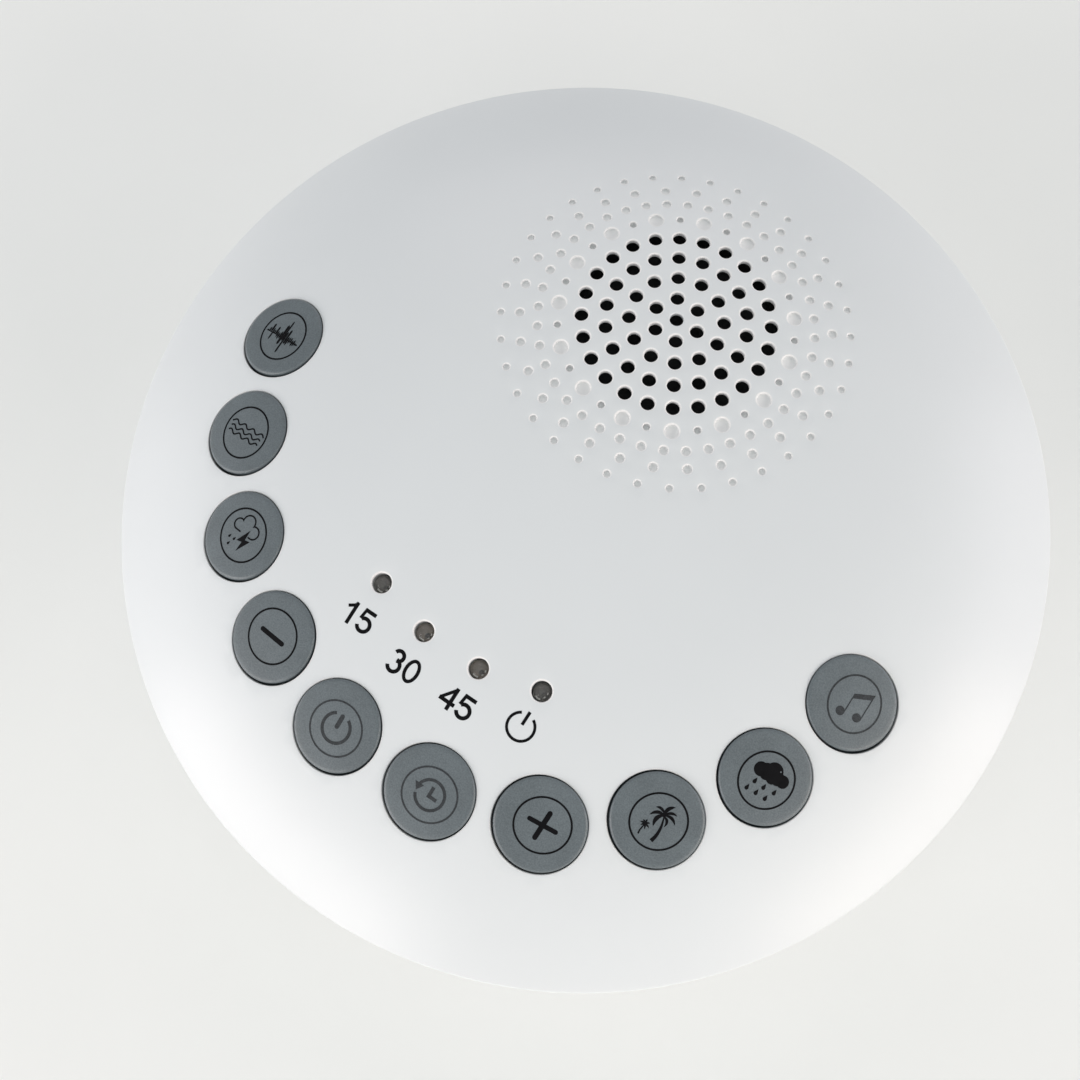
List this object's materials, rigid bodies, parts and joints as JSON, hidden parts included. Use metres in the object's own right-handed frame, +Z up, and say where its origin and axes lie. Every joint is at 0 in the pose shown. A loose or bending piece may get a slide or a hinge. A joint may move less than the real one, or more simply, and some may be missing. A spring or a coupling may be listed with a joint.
{
  "type": "white noise sound machine",
  "caption": "Round tabletop sound machine: domed cover with a moulded speaker grille, an arc of push buttons, timer lights and a battery door underneath.",
  "frame": {"origin": "on the surface that the feet stand on, under the crown of the cover", "axes": "+Z up, +Y to the back (grille side), +X to the user's right"},
  "size_m": [0.16, 0.16, 0.054],
  "materials": {
    "white_abs": "satin moulded ABS, fine moulding texture",
    "button_grey": "matte soft-touch moulding with black print",
    "switch_black": "moulded thermoplastic",
    "board_green": "solder mask",
    "screw_steel": "zinc-plated steel",
    "led_lens": "clear moulded epoxy",
    "tinned_lead": "tinned steel",
    "black_nylon": "moulded nylon",
    "foam_black": "foam",
    "basket_steel": "plated sheet steel",
    "cone_paper": "pressed paper",
    "coil_copper": "copper wire on a paper former",
    "magnet_ferrite": "sintered ferrite",
    "contact_nickel": "nickel-plated spring steel",
    "foot_rubber": "grey rubber",
    "chip_black": "moulded epoxy",
    "capacitor_sleeve": "shrink sleeve",
    "header_nylon": "moulded nylon",
    "terminal_fibre": "pressed fibre board",
    "wire_red": "PVC insulation",
    "wire_black": "PVC insulation"
  },
  "bodies": {
    "case": {"top_cover": "white_abs", "bottom_shell": "white_abs", "switch_bodies": "switch_black", "main_board": "board_green", "board_screws": "screw_steel", "led_15": "led_lens", "led_30": "led_lens", "led_45": "led_lens", "led_power": "led_lens", "led_leads": "tinned_lead", "led_spacers": "black_nylon", "speaker_gasket": "foam_black", "speaker_basket": "basket_steel", "speaker_surround": "foam_black", "speaker_magnet": "magnet_ferrite", "magnet_plates": "basket_steel", "speaker_screws": "screw_steel", "speaker_washers": "screw_steel", "power_jack": "black_nylon", "battery_springs": "contact_nickel", "battery_plates": "contact_nickel", "case_screws": "screw_steel", "rubber_feet": "foot_rubber", "sound_chip": "chip_black", "capacitors": "capacitor_sleeve", "wire_headers": "header_nylon", "speaker_terminals": "terminal_fibre", "red_wires": "wire_red", "black_wires": "wire_black"},
    "battery_door": {"battery_door": "white_abs"},
    "key_white_noise": {"button_white_noise": "button_grey", "plunger_white_noise": "switch_black"},
    "key_ocean": {"button_ocean": "button_grey", "plunger_ocean": "switch_black"},
    "key_thunder": {"button_thunder": "button_grey", "plunger_thunder": "switch_black"},
    "key_volume_down": {"button_volume_down": "button_grey", "plunger_volume_down": "switch_black"},
    "key_power": {"button_power": "button_grey", "plunger_power": "switch_black"},
    "key_timer": {"button_timer": "button_grey", "plunger_timer": "switch_black"},
    "key_volume_up": {"button_volume_up": "button_grey", "plunger_volume_up": "switch_black"},
    "key_palms": {"button_palms": "button_grey", "plunger_palms": "switch_black"},
    "key_rain": {"button_rain": "button_grey", "plunger_rain": "switch_black"},
    "key_lullaby": {"button_lullaby": "button_grey", "plunger_lullaby": "switch_black"},
    "cone": {"speaker_cone": "cone_paper", "dust_cap": "cone_paper", "voice_coil": "coil_copper"}
  },
  "joints": [
    {"name": "press_white_noise", "type": "slide", "parent": "case", "child": "key_white_noise", "axis": [0, 0, -1], "range_m": [0, 0.0008], "stiffness_N_per_m": 1000, "springref_m": -0.0008},
    {"name": "press_ocean", "type": "slide", "parent": "case", "child": "key_ocean", "axis": [0, 0, -1], "range_m": [0, 0.0008], "stiffness_N_per_m": 1000, "springref_m": -0.0008},
    {"name": "press_thunder", "type": "slide", "parent": "case", "child": "key_thunder", "axis": [0, 0, -1], "range_m": [0, 0.0008], "stiffness_N_per_m": 1000, "springref_m": -0.0008},
    {"name": "press_volume_down", "type": "slide", "parent": "case", "child": "key_volume_down", "axis": [0, 0, -1], "range_m": [0, 0.0008], "stiffness_N_per_m": 1000, "springref_m": -0.0008},
    {"name": "press_power", "type": "slide", "parent": "case", "child": "key_power", "axis": [0, 0, -1], "range_m": [0, 0.0008], "stiffness_N_per_m": 1000, "springref_m": -0.0008},
    {"name": "press_timer", "type": "slide", "parent": "case", "child": "key_timer", "axis": [0, 0, -1], "range_m": [0, 0.0008], "stiffness_N_per_m": 1000, "springref_m": -0.0008},
    {"name": "press_volume_up", "type": "slide", "parent": "case", "child": "key_volume_up", "axis": [0, 0, -1], "range_m": [0, 0.0008], "stiffness_N_per_m": 1000, "springref_m": -0.0008},
    {"name": "press_palms", "type": "slide", "parent": "case", "child": "key_palms", "axis": [0, 0, -1], "range_m": [0, 0.0008], "stiffness_N_per_m": 1000, "springref_m": -0.0008},
    {"name": "press_rain", "type": "slide", "parent": "case", "child": "key_rain", "axis": [0, 0, -1], "range_m": [0, 0.0008], "stiffness_N_per_m": 1000, "springref_m": -0.0008},
    {"name": "press_lullaby", "type": "slide", "parent": "case", "child": "key_lullaby", "axis": [0, 0, -1], "range_m": [0, 0.0008], "stiffness_N_per_m": 1000, "springref_m": -0.0008},
    {"name": "door_hinge", "type": "hinge", "parent": "case", "child": "battery_door", "pos_m": [0, 0.0153, 0.0044], "axis": [1, 0, 0], "range_deg": [0, 75]},
    {"name": "cone_stroke", "type": "slide", "parent": "case", "child": "cone", "axis": [0, 0, 1], "range_m": [-0.0006, 0.0006], "stiffness_N_per_m": 1500, "deforming": ["speaker_surround"]}
  ]
}
